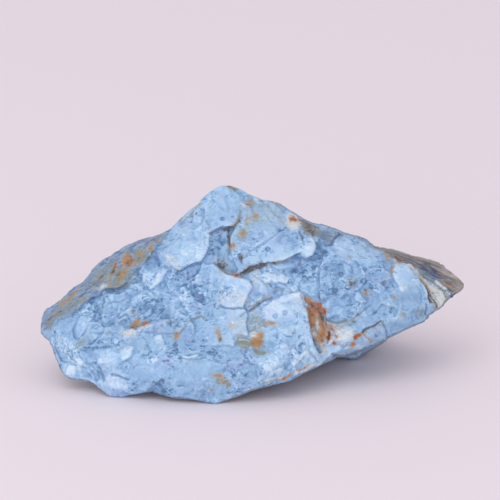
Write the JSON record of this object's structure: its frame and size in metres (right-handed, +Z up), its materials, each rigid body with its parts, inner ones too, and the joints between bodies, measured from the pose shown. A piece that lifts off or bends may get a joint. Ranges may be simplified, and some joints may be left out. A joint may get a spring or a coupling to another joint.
{
  "type": "rough opal stone",
  "caption": "Rough lump of common opal with a broken, shell-fractured front, a weathered rind on its upper left and a thin weathered tip, resting on small flats on its underside.",
  "frame": {"origin": "centre of the bounding box in plan, at the level of the flats the stone rests on", "axes": "+X along the stone's length towards the thin weathered tip, +Y away from the broken front, +Z up from the surface it rests on"},
  "size_m": [0.071, 0.0382, 0.03],
  "materials": {
    "opal": "waxy broken blue common opal, paler on the raised plates, with ochre and rust iron stains and a grey weathered rind"
  },
  "bodies": {
    "root": {"rough_opal": "opal"}
  },
  "joints": []
}
